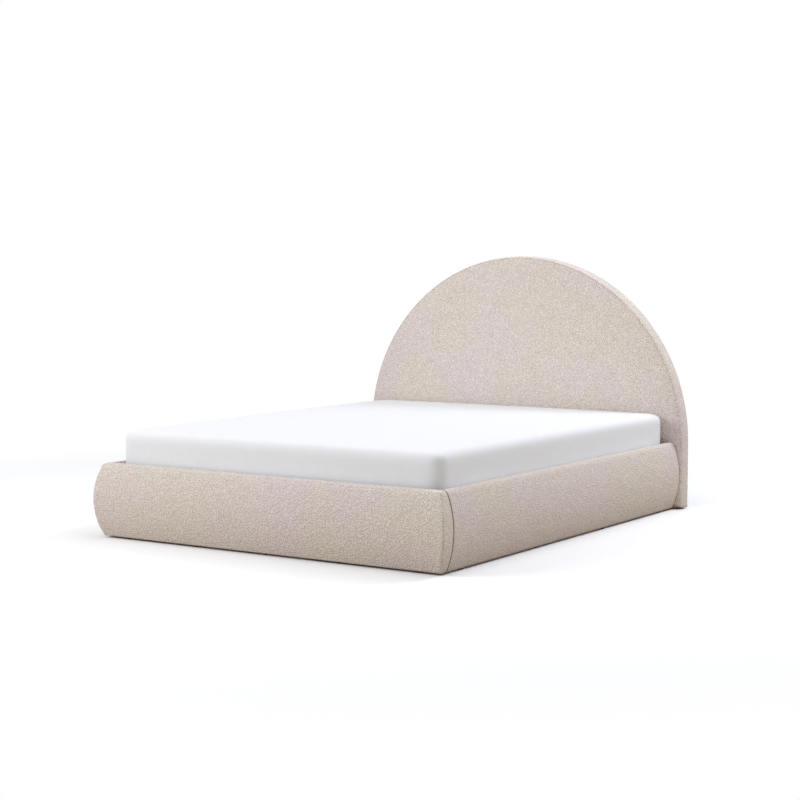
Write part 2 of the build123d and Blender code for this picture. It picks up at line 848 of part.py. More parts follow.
def main():
    """Build and save every piece."""
    os.makedirs("parts", exist_ok=True)
    save("headboard_cover", headboard_cover())
    save("headboard_foam", headboard_foam())
    save("headboard_panel", headboard_panel())
    save("headboard_fixing_pads", cut_group(fixing_pad_boxes(), headboard_holes()))
    save("left_headboard_post", headboard_post(-1))
    save("right_headboard_post", headboard_post(1))
    save("headboard_lower_rail", headboard_cross_rail(floor_room + skin))
    save("headboard_middle_rail", headboard_cross_rail(middle_rail_low()))
    save("headboard_stile", headboard_stile())
    for index in range(rim_rib_count):
        save(f"headboard_rib_{index + 1}", headboard_rib(index))
    save("headboard_back_cloth", headboard_back_cloth())
    save("headboard_glides", headboard_glides())
    save("foot_rail_cover", foot_cover())
    save("foot_rail_foam", foot_foam())
    save("foot_rail_board", rail_board_foot())
    right_pieces = {
        "side_rail_cover": side_cover(),
        "side_rail_foam": side_foam(),
        "side_rail_board": rail_board_side(),
        "slat_ledge": slat_ledge(),
        "foot_bracket": corner_bracket(foot_board_in_y, 1),
        "head_bracket": corner_bracket(head_front_y, -1),
    }
    for name, piece in right_pieces.items():
        save(f"right_{name}", piece)
        save(f"left_{name}", mirror(piece, about=Plane.YZ))
    save("rail_glides", rail_glides())
    save("bracket_bolts", bracket_bolts())
    save("tee_nuts", tee_nuts())
    save("ledge_screws", ledge_screws())
    save("centre_beam", centre_beam())
    save("beam_hangers", joined([beam_hanger(foot_board_in_y, 1), beam_hanger(head_front_y, -1)]))
    save("hanger_screws", hanger_screws())
    save("leg_bolts", leg_bolts())
    for index, middle in enumerate(leg_middles()):
        save(f"centre_leg_{index + 1}", centre_leg(middle))
        save(f"levelling_foot_{index + 1}", levelling_foot(middle))
    for index in range(slat_count):
        save(f"slat_{index + 1:02d}", slat(index))
    save("left_slat_webbing", slat_webbing(-1))
    save("right_slat_webbing", slat_webbing(1))
    save("mattress_core", mattress_core())
    save("fitted_sheet", fitted_sheet())


main()
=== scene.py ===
from math import pi, radians, sin, sqrt

import bmesh
import bpy
import numpy as np
from bpy.props import FloatProperty, FloatVectorProperty, PointerProperty, StringProperty
from mathutils import Matrix, Vector, noise


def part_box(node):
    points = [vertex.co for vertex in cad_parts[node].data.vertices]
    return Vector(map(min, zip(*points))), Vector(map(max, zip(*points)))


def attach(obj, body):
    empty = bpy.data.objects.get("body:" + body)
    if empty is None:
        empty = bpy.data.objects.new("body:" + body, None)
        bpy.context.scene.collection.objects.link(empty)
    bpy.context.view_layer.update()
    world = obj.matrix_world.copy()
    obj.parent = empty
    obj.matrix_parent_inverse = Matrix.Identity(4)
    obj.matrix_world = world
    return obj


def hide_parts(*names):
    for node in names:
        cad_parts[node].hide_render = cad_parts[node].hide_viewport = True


bl_info = {
    "name": "Upholstered bed dressing",
    "version": (1, 0, 0),
    "blender": (4, 5, 0),
    "location": "3D View > Sidebar > Bed",
    "description": "Dresses a packed bed frame with its boucle covers, bedding and finishes",
    "category": "Object",
}

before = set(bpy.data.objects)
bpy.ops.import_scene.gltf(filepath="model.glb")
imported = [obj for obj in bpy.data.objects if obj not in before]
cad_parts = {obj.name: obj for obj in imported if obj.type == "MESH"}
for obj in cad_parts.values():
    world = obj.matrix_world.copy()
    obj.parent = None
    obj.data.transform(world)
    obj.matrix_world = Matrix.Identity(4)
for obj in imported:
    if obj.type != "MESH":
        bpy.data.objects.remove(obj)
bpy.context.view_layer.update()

# The shared frame in metres: +X right, +Y towards the headboard, +Z up, origin on the floor
MM = 0.001
# A point nearer than this to a plane or a line lies on it
TOUCH = MM / 10
# Room round a board in its padding
SEAT_ROOM = Vector((0.3 * MM,) * 3)
# How far a cutter runs out of the piece
OVERRUN = 5 * MM
# How deep the part of a rail is that stays flat against its board
FLAT_BACK = 8 * MM
# How far under its board, from the inner face, a rail's cover ends
HEM_STRIP = 10 * MM
# Spacing of the points along the half-round edge of a flat piece
ARCH_STEP = 20 * MM


# Sizes and colours that a user may change

class BedUpholsterySettings(bpy.types.PropertyGroup):
    """Shape of the padded covers."""
    rail_bulge: FloatProperty(
        name="Rail bulge", description="How far the middle of a rail bows out before the padding swells",
        default=0.0325, min=0.001, unit="LENGTH")
    packed_bulge: FloatProperty(
        name="Packed bulge", description="How far the packed model's rails bow out",
        default=0.0345, min=0.001, unit="LENGTH")
    rail_edge: FloatProperty(
        name="Rail edge", description="Rounding along a rail's top outer edge",
        default=0.0143, min=0.001, unit="LENGTH")
    rail_back_edge: FloatProperty(
        name="Rail back edge", description="Rounding along a rail's top inner edge",
        default=0.007, min=0.001, unit="LENGTH")
    seam_edge: FloatProperty(
        name="Seam edge", description="Rounding beside the seams where two covers butt",
        default=0.0055, min=0.001, unit="LENGTH")
    mitre_edge: FloatProperty(
        name="Mitre edge", description="Rounding of the sewn corners of the foot rail",
        default=0.004, min=0.001, unit="LENGTH")
    seam_sink: FloatProperty(
        name="Seam sink", description="How deep a sewn seam pulls the cover in",
        default=0.0012, min=0.0, unit="LENGTH")
    headboard_edge: FloatProperty(
        name="Headboard edge", description="Rounding of the headboard's front edge",
        default=0.017, min=0.001, unit="LENGTH")
    pad_room: FloatProperty(
        name="Pad room", description="Room in front of the headboard's face for its padding to swell into",
        default=0.002, min=0.0, unit="LENGTH")
    cover: FloatProperty(
        name="Cover", description="Thickness of the boucle cloth",
        default=0.002, min=0.0005, unit="LENGTH")
    spacing: FloatProperty(
        name="Cloth spacing", description="Spacing of the cloth's points",
        default=0.0085, min=0.004, unit="LENGTH")
    swell: FloatProperty(
        name="Swell", description="Furthest that the padding may push the cover out",
        default=0.004, min=0.0, unit="LENGTH")
    nub_size: FloatProperty(
        name="Nub size", description="Spacing of the curled nubs that stand up in the mesh",
        default=0.014, min=0.004, unit="LENGTH")
    nub_height: FloatProperty(
        name="Nub height", description="Height of those nubs from dip to tip",
        default=0.0014, min=0.0, unit="LENGTH")


class BedFabricColours(bpy.types.PropertyGroup):
    """Colours of the cloths, as sRGB hex."""
    # Painted highlight on the curls' tips
    boucle_painted_highlight: StringProperty(
        name="Boucle tip", description="Yarn curls that catch the light", default="#FFFBF8")
    boucle_body: StringProperty(
        name="Boucle body", description="Main colour of the pile", default="#F3EBE5")
    # Painted shade in the gaps between the curls
    boucle_painted_gap_shade: StringProperty(
        name="Boucle gap", description="Shaded gaps between the curls", default="#BFB3A8")
    # Painted shade in the joints between covers
    boucle_painted_joint_shade: StringProperty(
        name="Boucle joint", description="Shaded pile in the joints between covers", default="#8C7E72")
    boucle_rose: StringProperty(
        name="Boucle rose", description="Cooler patches of the dye", default="#FBF5F7")
    boucle_sand: StringProperty(
        name="Boucle sand", description="Warmer patches of the dye", default="#FAF7EF")
    sheet: StringProperty(name="Sheet", description="Bleached cotton percale", default="#EDEEF0")
    ticking: StringProperty(name="Ticking", description="Mattress ticking", default="#E6E4DE")
    dust_cloth: StringProperty(
        name="Dust cloth", description="Spun-bond cloth on the back", default="#2B2A2A")


class BedBeddingSettings(bpy.types.PropertyGroup):
    """Shape of the mattress and its fitted sheet."""
    corner: FloatProperty(
        name="Corner radius", description="Rounding of the mattress's upright corners",
        default=0.062, min=0.005, unit="LENGTH")
    top_edge: FloatProperty(
        name="Top edge radius", description="Rounding along the mattress's top",
        default=0.032, min=0.005, unit="LENGTH")
    low_edge: FloatProperty(
        name="Bottom edge radius", description="Rounding along the mattress's underside",
        default=0.022, min=0.005, unit="LENGTH")
    crown: FloatProperty(
        name="Crown", description="Rise of the mattress's middle over its corners",
        default=0.007, min=0.0, unit="LENGTH")
    grid: FloatProperty(
        name="Bedding grid", description="Spacing of the bedding's points before it is subdivided",
        default=0.024, min=0.006, unit="LENGTH")
    sheet_thickness: FloatProperty(
        name="Sheet thickness", description="Thickness of the fitted sheet",
        default=0.0009, min=0.0002, unit="LENGTH")
    hem: FloatProperty(
        name="Hem", description="How far the sheet is drawn in under the mattress",
        default=0.110, min=0.02, unit="LENGTH")


class BedStageSettings(bpy.types.PropertyGroup):
    """Camera and light."""
    camera_place: FloatVectorProperty(
        name="Camera place", description="Where the camera stands", size=3, subtype="TRANSLATION",
        default=(4.1838, -6.4739, 1.1674), unit="LENGTH")
    camera_yaw: FloatProperty(
        name="Camera yaw", description="Turn to the left of straight ahead",
        default=radians(33.084), subtype="ANGLE", unit="ROTATION")
    camera_pitch: FloatProperty(
        name="Camera pitch", description="Tilt below the horizon",
        default=radians(4.621), subtype="ANGLE", unit="ROTATION")
    lens: FloatProperty(name="Lens", description="Focal length in millimetres", default=78.58, min=10.0)
    top_light: FloatProperty(
        name="Top light", description="Power of the overhead softbox in watts", default=106.0)
    front_light: FloatProperty(
        name="Front light", description="Power of the front left softbox in watts", default=171.0)
    right_light: FloatProperty(
        name="Back right light", description="Power of the softbox behind at the right in watts",
        default=100.0)
    sky: FloatProperty(
        name="Sky", description="Strength of the even light from all round", default=0.53, min=0.0)


def settings():
    """Scene, which holds the settings."""
    return bpy.context.scene


# Small tools

def linear(hex_text):
    """sRGB hex as a linear colour with alpha."""
    channels = [int(hex_text[i:i + 2], 16) / 255 for i in (1, 3, 5)]
    return [c / 12.92 if c <= 0.04045 else ((c + 0.055) / 1.055) ** 2.4 for c in channels] + [1.0]


def add_node(tree, kind, inputs=None, **values):
    """Adds a node with its own values, and sets its inputs or links them to sockets or nodes' first outputs."""
    made = tree.nodes.new(kind)
    for name, value in values.items():
        setattr(made, name, value)
    for key, value in (inputs or {}).items():
        if isinstance(value, bpy.types.Node):
            value = value.outputs[0]
        if isinstance(value, bpy.types.NodeSocket):
            tree.links.new(value, made.inputs[key])
        else:
            made.inputs[key].default_value = value
    return made


def ramp(tree, factor, stops):
    """Colour ramp from a list of (place, hex) stops."""
    made = add_node(tree, "ShaderNodeValToRGB", {"Fac": factor})
    points = made.color_ramp.elements
    while len(points) < len(stops):
        points.new(0.5)
    for point, (place, colour) in zip(points, stops):
        point.position = place
        point.color = linear(colour)
    return made.outputs["Color"]


def start_material(name):
    """New material and its empty node tree, or the material that is there already and None."""
    made = bpy.data.materials.get(name)
    if made:
        return made, None
    made = bpy.data.materials.new(name)
    made.use_nodes = True
    made.node_tree.nodes.clear()
    return made, made.node_tree


def finish_material(made, tree, shader):
    """Links the shader to the output."""
    add_node(tree, "ShaderNodeOutputMaterial", {"Surface": shader})
    return made


def object_coordinates(tree, scale=(1, 1, 1)):
    """Object coordinates, stretched for a pattern."""
    place = add_node(tree, "ShaderNodeTexCoord")
    return add_node(tree, "ShaderNodeMapping", {"Vector": place.outputs["Object"], "Scale": scale})


def new_piece(name, bm):
    """Object of a finished bmesh, at the origin."""
    mesh = bpy.data.meshes.new(name)
    bm.to_mesh(mesh)
    bm.free()
    piece = bpy.data.objects.new(name, mesh)
    bpy.context.scene.collection.objects.link(piece)
    return piece


def keep_modifiers(piece):
    """Turns what the modifiers show into the piece's own mesh."""
    bpy.context.view_layer.update()
    graph = bpy.context.evaluated_depsgraph_get()
    made = bpy.data.meshes.new_from_object(piece.evaluated_get(graph))
    piece.modifiers.clear()
    old = piece.data
    piece.data = made
    bpy.data.meshes.remove(old)
    piece.data.name = piece.name


def modify(piece, kind, **values):
    """Puts one modifier on a piece and keeps what it makes."""
    made = piece.modifiers.new(kind.title(), kind)
    for name, value in values.items():
        setattr(made, name, value)
    keep_modifiers(piece)


def even_skin(bm, name, grid):
    """Piece in the shape of a bmesh, with an even grid of faces."""
    form = new_piece(name + "_form", bm)
    piece = form.copy()
    piece.data = form.data.copy()
    piece.name = name
    bpy.context.scene.collection.objects.link(piece)
    modify(piece, "REMESH", mode="VOXEL", voxel_size=grid)
    modify(piece, "SHRINKWRAP", target=form, wrap_method="NEAREST_SURFACEPOINT")
    bpy.data.objects.remove(form)
    return piece


def rows(collection, name):
    """One vector of each item in a mesh collection, as rows of X, Y and Z."""
    values = np.zeros(len(collection) * 3, np.float32)
    collection.foreach_get(name, values)
    return values.reshape(-1, 3).astype(float)


def points_of(piece):
    """Vertices as rows."""
    return rows(piece.data.vertices, "co")


def move_points(piece, points):
    """Writes the vertices back."""
    piece.data.vertices.foreach_set("co", points.astype(np.float32).ravel())
    piece.data.update()


def smooth_faces(piece):
    """Smooth shading all over."""
    piece.data.polygons.foreach_set("use_smooth", [True] * len(piece.data.polygons))
    piece.data.update()


def mark(piece, **marks):
    """Attributes for the cloth, such as how near a sewn seam is, how far along it and how much painted shade a
    joint gets.
    """
    for name, values in marks.items():
        attribute = piece.data.attributes.new(name, "FLOAT", "POINT")
        attribute.data.foreach_set("value", values.astype(np.float32))


def ease(value, start, end):
    """Smooth step from 0 at start to 1 at end, for arrays."""
    t = np.clip((value - start) / (end - start), 0, 1)
    return t * t * (3 - 2 * t)


def puff(piece, held, cap, pressure=4.0, frames=16):
    """Lets the padding push the cloth out, with the held points pinned and the others stopped at a cap."""
    start = points_of(piece)
    group = piece.vertex_groups.new(name="held")
    for index in np.nonzero(held > 0)[0]:
        group.add([int(index)], float(held[index]), "REPLACE")
    cloth = piece.modifiers.new("Padding", "CLOTH")
    cloth.settings.quality = 4
    cloth.settings.mass = 0.3
    cloth.settings.tension_stiffness = 25
    cloth.settings.compression_stiffness = 25
    cloth.settings.shear_stiffness = 12
    cloth.settings.bending_stiffness = 2.0
    cloth.settings.use_pressure = True
    cloth.settings.uniform_pressure_force = pressure
    cloth.settings.effector_weights.gravity = 0
    cloth.settings.vertex_group_mass = "held"
    cloth.collision_settings.use_collision = False
    for step in range(1, frames + 1):
        bpy.context.scene.frame_set(step)
    keep_modifiers(piece)
    bpy.context.scene.frame_set(1)
    moved = points_of(piece) - start
    far = np.linalg.norm(moved, axis=1)
    moved *= (np.minimum(far, cap) / np.maximum(far, 1e-9))[:, None]
    move_points(piece, start + moved)
    piece.vertex_groups.clear()


def raise_nubs(piece, size, height, weight):
    """Curled nubs of the pile as real relief, and their height as the attribute pile, which the cloth uses to
    paint the higher nubs lighter as a painted highlight.
    """
    # Nubs of two sizes, the smaller ones lower, and the highest tips levelled off
    finer, lower, shift, level = 1.9, 0.6, Vector((7.3, 2.1, 5.7)), 0.9
    points = points_of(piece)
    values = np.empty(len(points))
    for index, point in enumerate(points):
        place = Vector(point) / size
        values[index] = noise.noise(place) + lower * noise.noise(place * finer + shift)
    values = np.clip(values / level, -1, 1)
    normals = rows(piece.data.vertex_normals, "vector")
    move_points(piece, points + normals * (values * weight * height / 2)[:, None])
    mark(piece, pile=0.5 + 0.5 * values)


# Materials

def boucle():
    """Wool boucle: looped yarn with a curled, nubbly pile that scatters light softly, with
    painted shade in the gaps between the curls and a painted highlight on their tips."""
    made, tree = start_material("Wool boucle")
    if not tree:
        return made
    colours = settings().bed_colours
    # The curls are 5 to 8 mm across; the yarn's own fibres are drawn at 2.4 mm, coarser than they are
    curl = 6.2 * MM
    fibre = 2.4 * MM
    # The rows of curls wander by a curl's width over 18 mm
    wander = 18 * MM
    stray = 6 * MM
    # Puckers stand across a sewn seam, and fade out in a thumb's breadth; their folds are bumped and also
    # painted darker and lighter, as painted shade and light
    pucker_spacing = 11 * MM
    # Dye and the lie of the pile drift between a rosier and a sandier tone over a hand's breadth
    patch = 280 * MM
    place = object_coordinates(tree)
    warp = add_node(tree, "ShaderNodeTexNoise", {"Vector": place, "Scale": 1 / wander, "Detail": 2.0})
    wavy = add_node(tree, "ShaderNodeVectorMath", {0: warp.outputs["Color"], 1: (0.5, 0.5, 0.5)},
                    operation="SUBTRACT")
    bent = add_node(tree, "ShaderNodeVectorMath", {0: wavy, 1: (stray,) * 3, 2: place},
                    operation="MULTIPLY_ADD")
    cells = add_node(tree, "ShaderNodeTexVoronoi", {"Vector": bent, "Scale": 1 / curl,
                                                    "Randomness": 1.0, "Smoothness": 0.5},
                     feature="SMOOTH_F1")
    fibres = add_node(tree, "ShaderNodeTexNoise", {"Vector": bent, "Scale": 1 / fibre,
                                                   "Detail": 2.0, "Roughness": 0.7})
    pile, near, run, deep = [add_node(tree, "ShaderNodeAttribute", attribute_name=name).outputs["Fac"]
                             for name in ("pile", "seam_near", "seam_run", "seam_deep")]
    # Near a cell's centre is a curl's tip, painted lighter as a painted highlight, and at its edge a gap,
    # painted darker as painted shade; tip also drives the bump
    tip = add_node(tree, "ShaderNodeMapRange", {"Value": cells.outputs["Distance"], "From Min": 0.05,
                                                "From Max": 0.6, "To Min": 1.0, "To Max": 0.0})
    curls = add_node(tree, "ShaderNodeMath", {0: tip, 1: 0.5}, operation="MULTIPLY")
    with_fibres = add_node(tree, "ShaderNodeMath", {0: fibres, 1: 0.55, 2: curls}, operation="MULTIPLY_ADD")
    # Higher nubs are painted lighter: painted highlight on the tops of the relief
    with_pile = add_node(tree, "ShaderNodeMath", {0: pile, 1: 0.08, 2: with_fibres},
                         operation="MULTIPLY_ADD")
    uneven = add_node(tree, "ShaderNodeTexNoise", {"Vector": place, "Scale": 1 / (20 * MM)})
    turns = add_node(tree, "ShaderNodeMath", {0: run, 1: 2 * pi / pucker_spacing}, operation="MULTIPLY")
    drifting = add_node(tree, "ShaderNodeMath", {0: uneven, 1: 9.0, 2: turns}, operation="MULTIPLY_ADD")
    wave = add_node(tree, "ShaderNodeMath", {0: drifting}, operation="SINE")
    pucker = add_node(tree, "ShaderNodeMath", {0: wave, 1: near}, operation="MULTIPLY")
    # The puckers also shift the colour: painted shade and light in their folds
    painted_light_factor = add_node(tree, "ShaderNodeMath", {0: pucker, 1: 0.05, 2: with_pile},
                           operation="MULTIPLY_ADD")
    # The ramp paints the light: painted shade in the gaps, the body colour, and a painted highlight on the tips
    shade = ramp(tree, painted_light_factor, [(0.15, colours.boucle_painted_gap_shade), (0.42, colours.boucle_body),
                                     (0.76, colours.boucle_painted_highlight)])
    drift = add_node(tree, "ShaderNodeTexNoise", {"Vector": place, "Scale": 1 / patch, "Detail": 2.0})
    tone = ramp(tree, drift, [(0.38, colours.boucle_sand), (0.62, colours.boucle_rose)])
    tinted = add_node(tree, "ShaderNodeMix", {"Factor": 1.0, "A": shade, "B": tone}, data_type="RGBA",
                      blend_type="MULTIPLY")
    # Where two covers butt, the colour is drawn towards a dark joint colour: painted shade in the joint
    joined = add_node(tree, "ShaderNodeMix", {"Factor": deep, "A": tinted.outputs["Result"],
                                              "B": linear(colours.boucle_painted_joint_shade)}, data_type="RGBA")
    rough = add_node(tree, "ShaderNodeMath", {0: fibres, 1: 0.5, 2: tip}, operation="MULTIPLY_ADD")
    height = add_node(tree, "ShaderNodeMath", {0: pucker, 1: 0.15, 2: rough}, operation="MULTIPLY_ADD")
    bump = add_node(tree, "ShaderNodeBump", {"Height": height, "Strength": 1.0, "Distance": 3.2 * MM})
    shader = add_node(tree, "ShaderNodeBsdfPrincipled", {
        "Base Color": joined.outputs["Result"], "Roughness": 0.95, "Specular IOR Level": 0.12,
        "Sheen Weight": 0.4, "Sheen Roughness": 0.45, "Sheen Tint": linear("#FFF8F2"),
        "Normal": bump})
    return finish_material(made, tree, shader)


def weave(name, colour, thread, strength, roughness, sheen, crease=0.0):
    """Plain-woven cloth: threads over and under at a spacing, with slubs and faint creases."""
    made, tree = start_material(name)
    if not tree:
        return made
    slub = 30 * MM
    fold = 350 * MM
    place = object_coordinates(tree)
    # The wave texture repeats every pi / 10 of its scaled length
    x, y, z = [add_node(tree, "ShaderNodeTexWave", {"Vector": place, "Scale": pi / 10 / thread,
                                                    "Distortion": 0.4, "Detail": 1.0, "Detail Scale": 3.0},
                        wave_type="BANDS", bands_direction=direction).outputs["Fac"] for direction in "XYZ"]
    flat = add_node(tree, "ShaderNodeMath", {0: x, 1: y}, operation="ADD")
    threads = add_node(tree, "ShaderNodeMath", {0: flat, 1: z}, operation="ADD")
    slubs = add_node(tree, "ShaderNodeTexNoise", {"Vector": place, "Scale": 1 / slub, "Detail": 4.0})
    folds = add_node(tree, "ShaderNodeTexNoise", {"Vector": place, "Scale": 1 / fold, "Detail": 2.0,
                                                  "Distortion": 0.6})
    tint = add_node(tree, "ShaderNodeMapRange", {"Value": slubs, "From Min": 0.3, "From Max": 0.7,
                                                 "To Min": 0.0, "To Max": 1.0})
    base = linear(colour)
    shaded = [c * 0.98 for c in base[:3]] + [1.0]
    mix = add_node(tree, "ShaderNodeMix", {"Factor": tint, "A": shaded, "B": base}, data_type="RGBA")
    fine = add_node(tree, "ShaderNodeBump", {"Height": threads, "Strength": strength,
                                             "Distance": 0.3 * thread})
    broad = add_node(tree, "ShaderNodeBump", {"Height": folds, "Strength": crease,
                                              "Distance": 10 * MM, "Normal": fine})
    shader = add_node(tree, "ShaderNodeBsdfPrincipled", {
        "Base Color": mix.outputs["Result"], "Roughness": roughness, "Specular IOR Level": 0.25,
        "Sheen Weight": sheen, "Sheen Roughness": 0.5, "Normal": broad})
    return finish_material(made, tree, shader)


def wood(name, early, late, ring, along, roughness):
    """Sawn and planed wood: growth rings cut lengthwise, fine pores and a dull face."""
    made, tree = start_material(name)
    if not tree:
        return made
    pore = 1.6 * MM
    place = object_coordinates(tree, [0.06 if axis == along else 1 for axis in "XYZ"])
    rings = add_node(tree, "ShaderNodeTexNoise", {"Vector": place, "Scale": 1 / ring, "Detail": 5.0,
                                                  "Roughness": 0.6, "Distortion": 0.9})
    pores = add_node(tree, "ShaderNodeTexNoise", {"Vector": place, "Scale": 1 / pore, "Detail": 2.0})
    both = add_node(tree, "ShaderNodeMath", {0: pores, 1: 0.25, 2: rings}, operation="MULTIPLY_ADD")
    shade = ramp(tree, both, [(0.42, late), (0.6, early), (0.8, late)])
    bump = add_node(tree, "ShaderNodeBump", {"Height": both, "Strength": 0.25, "Distance": 0.6 * MM})
    shader = add_node(tree, "ShaderNodeBsdfPrincipled", {
        "Base Color": shade, "Roughness": roughness, "Normal": bump})
    return finish_material(made, tree, shader)


def thin_finish(name, colour, roughness, metallic=1.0):
    """Plated or powder-coated steel, or moulded plastic: spangle or grain breaks up its gloss."""
    made, tree = start_material(name)
    if not tree:
        return made
    speck = 1.2 * MM
    patch = 14 * MM
    place = object_coordinates(tree)
    grain = add_node(tree, "ShaderNodeTexNoise", {"Vector": place, "Scale": 1 / speck, "Detail": 3.0})
    patches = add_node(tree, "ShaderNodeTexNoise", {"Vector": place, "Scale": 1 / patch, "Detail": 2.0})
    dull = add_node(tree, "ShaderNodeMapRange", {"Value": patches, "From Min": 0.3,
                                                 "From Max": 0.7, "To Min": roughness - 0.08,
                                                 "To Max": roughness + 0.1})
    base = linear(colour)
    worn = [c * 0.86 for c in base[:3]] + [1.0]
    mix = add_node(tree, "ShaderNodeMix", {"Factor": patches, "A": worn, "B": base}, data_type="RGBA")
    bump = add_node(tree, "ShaderNodeBump", {"Height": grain, "Strength": 0.2, "Distance": 0.3 * MM})
    shader = add_node(tree, "ShaderNodeBsdfPrincipled", {
        "Base Color": mix.outputs["Result"], "Metallic": metallic, "Roughness": dull,
        "Normal": bump})
    return finish_material(made, tree, shader)


# Covers of the base and the headboard

def rail_bow(height, low, high, bulge):
    """How far a rail stands out at a height: a shallow arc between its two edges."""
    middle = (low + high) / 2
    half = (high - low) / 2
    radius = (half ** 2 + bulge ** 2) / (2 * bulge)
    return sqrt(max(radius ** 2 - (height - middle) ** 2, 0)) - (radius - bulge)


def block(low, high):
    """Closed box between two corners, as a new bmesh."""
    bm = bmesh.new()
    size = Vector(high) - Vector(low)
    place = Matrix.Translation((Vector(low) + Vector(high)) / 2) @ Matrix.Diagonal((*size, 1))
    bmesh.ops.create_cube(bm, size=1, matrix=place)
    return bm


def split_along(bm, axis, spacing):
    """The same number of cuts across every long edge that runs along an axis."""
    chosen = []
    for edge in bm.edges:
        run = edge.verts[1].co - edge.verts[0].co
        if abs(run[axis]) > 0.999 * run.length and run.length > 2 * spacing:
            chosen.append(edge)
    cuts = round(max(e.calc_length() for e in chosen) / spacing) - 1
    bmesh.ops.subdivide_edges(bm, edges=chosen, cuts=cuts, use_grid_fill=True)


def round_edges(bm, chosen, radius, segments=5):
    """Rounded edges."""
    bmesh.ops.bevel(bm, geom=chosen, offset=radius, segments=segments, profile=0.5, affect="EDGES",
                    material=-1, clamp_overlap=False)


def edges_on(bm, test):
    """Edges whose both ends pass a test."""
    return [e for e in bm.edges if all(test(v.co) for v in e.verts)]


def finish_cover(piece, weight):
    """Gives a cover its nubs, where the weight lets them rise, its cloth and its place on the frame."""
    made = settings().bed_upholstery
    raise_nubs(piece, made.nub_size, made.nub_height, weight(points_of(piece)))
    smooth_faces(piece)
    piece.data.materials.clear()
    piece.data.materials.append(boucle())
    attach(piece, "bed_frame")


def loose_boxes(node):
    """Boxes round the separate solids of one of the frame's pieces."""
    bm = bmesh.new()
    bm.from_mesh(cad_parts[node].data)
    left = set(bm.verts)
    boxes = []
    while left:
        grown = {left.pop()}
        edge = set(grown)
        while edge:
            edge = {e.other_vert(v) for v in edge for e in v.link_edges} - grown
            grown |= edge
        left -= grown
        spans = [(min(v.co[i] for v in grown), max(v.co[i] for v in grown)) for i in range(3)]
        boxes.append(tuple(Vector([span[end] for span in spans]) for end in (0, 1)))
    bm.free()
    return boxes


def cut_away(piece, boxes):
    """Takes box-shaped spaces out of a piece, such as the seat of a board in its padding."""
    for low, high in boxes:
        tool = new_piece("cutter", block(low, high))
        modify(piece, "BOOLEAN", operation="DIFFERENCE", solver="EXACT", object=tool)
        bpy.data.objects.remove(tool)
    smooth_faces(piece)


def open_back(piece, board, window_low, window_high, ledge):
    """Takes a board's seat out of a rail, and the space behind it that its cover doesn't cross."""
    board_low, board_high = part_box(board)
    cover_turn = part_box(ledge)[1].z + 2 * settings().bed_upholstery.cover
    cut_away(piece, [(board_low - SEAT_ROOM, board_high + SEAT_ROOM),
                     (window_low, Vector((window_high[0], window_high[1], cover_turn)))])


def side_rail(side, name):
    """One side rail: a D-section bolster that butts against the foot rail and the headboard."""
    made = settings().bed_upholstery
    low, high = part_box(name + "_cover")
    inner, outer = (low.x, high.x) if side > 0 else (high.x, low.x)
    edge = outer - side * made.packed_bulge
    bm = block((min(inner, edge), low.y, low.z), (max(inner, edge), high.y, high.z))
    top = high.z - MM / 2
    round_edges(bm, edges_on(bm, lambda c: c.z > top and abs(c.x - edge) < MM), made.rail_edge, 3)
    round_edges(bm, edges_on(bm, lambda c: c.z > top and abs(c.x - inner) < MM), made.rail_back_edge, 2)
    split_along(bm, 2, made.spacing)
    for vert in bm.verts:
        if abs(vert.co.x - inner) > FLAT_BACK:
            vert.co.x += side * rail_bow(vert.co.z, low.z, high.z, made.rail_bulge)
    for end in (low.y, high.y):
        rim = edges_on(bm, lambda c: abs(c.y - end) < TOUCH and abs(c.x - inner) > FLAT_BACK)
        round_edges(bm, [e for e in rim if min(v.co.z for v in e.verts) > low.z + TOUCH
                         or abs(e.verts[0].co.z - e.verts[1].co.z) > MM], made.seam_edge, 3)
    split_along(bm, 1, made.spacing)
    bmesh.ops.recalc_face_normals(bm, faces=bm.faces)
    piece = new_piece(name + "_upholstery", bm)
    points = points_of(piece)
    ends = np.minimum(points[:, 1] - low.y, high.y - points[:, 1])
    # Painted shade at the butt joints, towards the rail's ends
    mark(piece, seam_deep=1 - ease(ends, MM, made.seam_edge))
    held = (np.abs(points[:, 0] - inner) < FLAT_BACK) | (points[:, 2] < low.z + MM) | (ends < MM)
    puff(piece, held.astype(float), made.swell)

    def weight(p):
        return (ease(p[:, 2], low.z, low.z + 6 * MM) * ease(np.abs(p[:, 0] - inner), 6 * MM, 12 * MM)
                * ease(np.minimum(p[:, 1] - low.y, high.y - p[:, 1]), MM, 8 * MM))

    finish_cover(piece, weight)
    points = points_of(piece)
    points[:, 1] = np.clip(points[:, 1], low.y, high.y)
    move_points(piece, points)
    board_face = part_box(name + "_board")[0 if side > 0 else 1].x
    window = sorted((inner - side * OVERRUN, board_face + side * HEM_STRIP))
    open_back(piece, name + "_board", Vector((window[0], low.y - OVERRUN, low.z - OVERRUN)),
              (window[1], high.y + OVERRUN), name.replace("side_rail", "slat_ledge"))
    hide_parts(name + "_cover", name + "_foam")


